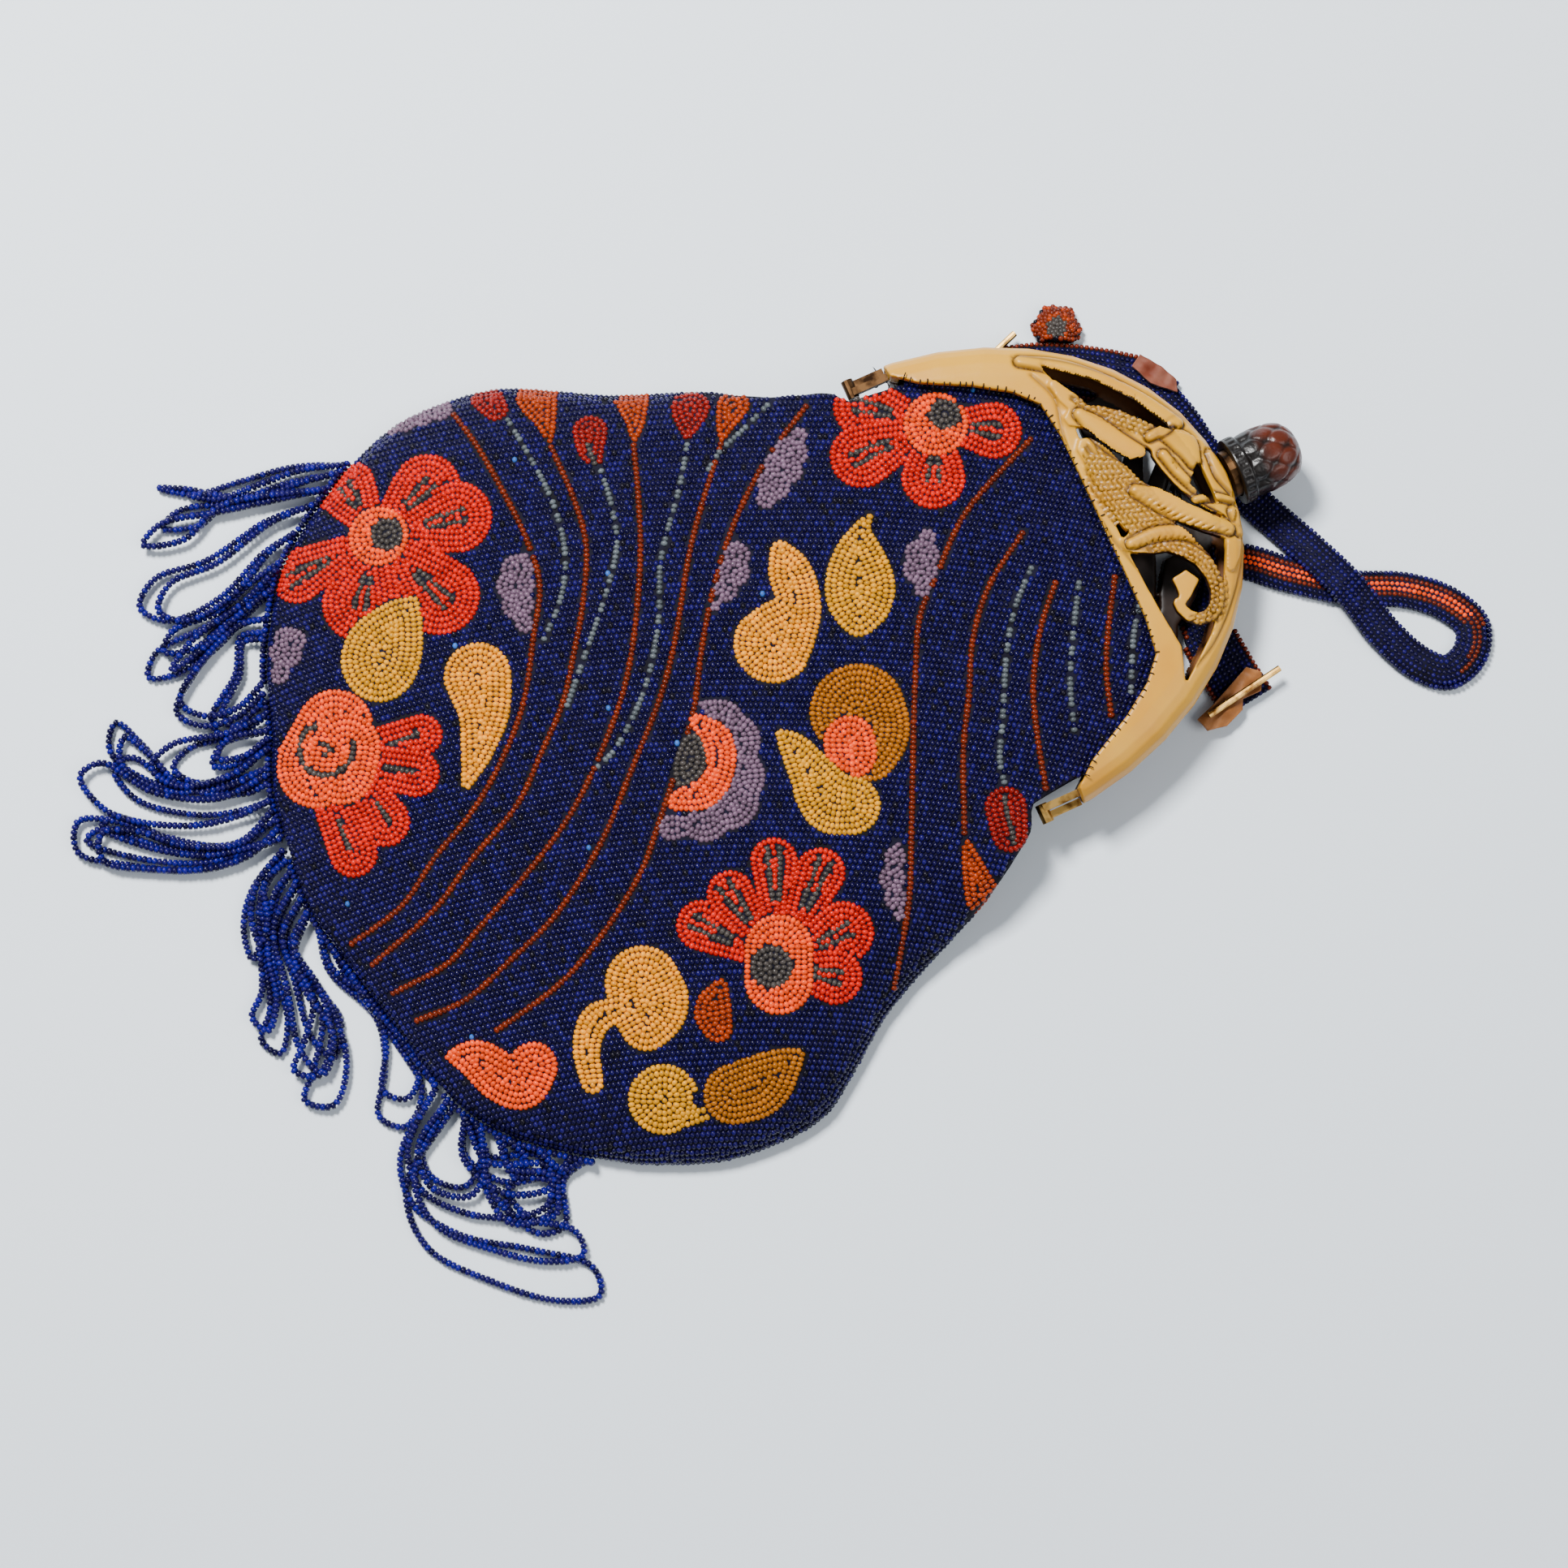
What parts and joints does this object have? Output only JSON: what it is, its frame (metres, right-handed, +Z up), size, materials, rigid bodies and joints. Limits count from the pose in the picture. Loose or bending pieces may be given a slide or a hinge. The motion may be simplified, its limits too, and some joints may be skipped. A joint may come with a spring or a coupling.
{
  "type": "beaded evening purse",
  "caption": "Flat beaded purse with a carved dome frame, press knob, looped bead fringe and a woven bead strap, lying on its back.",
  "frame": {"origin": "middle of the footprint, on the surface the purse lies on", "axes": "+Y from the fringe towards the clasp knob, +Z up off the surface, +X to the right seen from above"},
  "size_m": [0.2322, 0.3444, 0.0215],
  "materials": {
    "bag_beads": "small glass seed beads sewn on cloth, glossy",
    "fringe_beads": "small glass seed beads on thread, glossy",
    "strap_beads": "woven small glass beads, glossy",
    "celluloid": "ivory-coloured celluloid, worn gloss, brown in the recesses",
    "carved_horn": "dark brown carved celluloid, satin",
    "brass": "aged, satin",
    "silk": "peach silk, soft sheen",
    "red_beads": "small red-brown glass beads, glossy"
  },
  "bodies": {
    "body": {"bag_body": "bag_beads", "fringe_upper": "fringe_beads", "fringe_middle": "fringe_beads", "fringe_lower": "fringe_beads", "fringe_bundle": "fringe_beads", "frame_front": "celluloid", "frame_back": "celluloid", "hinge_left": "brass", "hinge_right": "brass", "clasp_collar": "brass", "strap": "strap_beads", "tab_lining_left": "silk", "tab_lining_right": "silk", "strap_rod_left": "brass", "strap_rod_right": "brass", "rosette": "red_beads"},
    "clasp": {"clasp_knob": "carved_horn"}
  },
  "joints": [
    {"name": "clasp_push", "type": "slide", "parent": "body", "child": "clasp", "axis": [0, -1, 0], "range_m": [0, 0.0015], "stiffness_N_per_m": 200, "springref_m": -0.003}
  ]
}
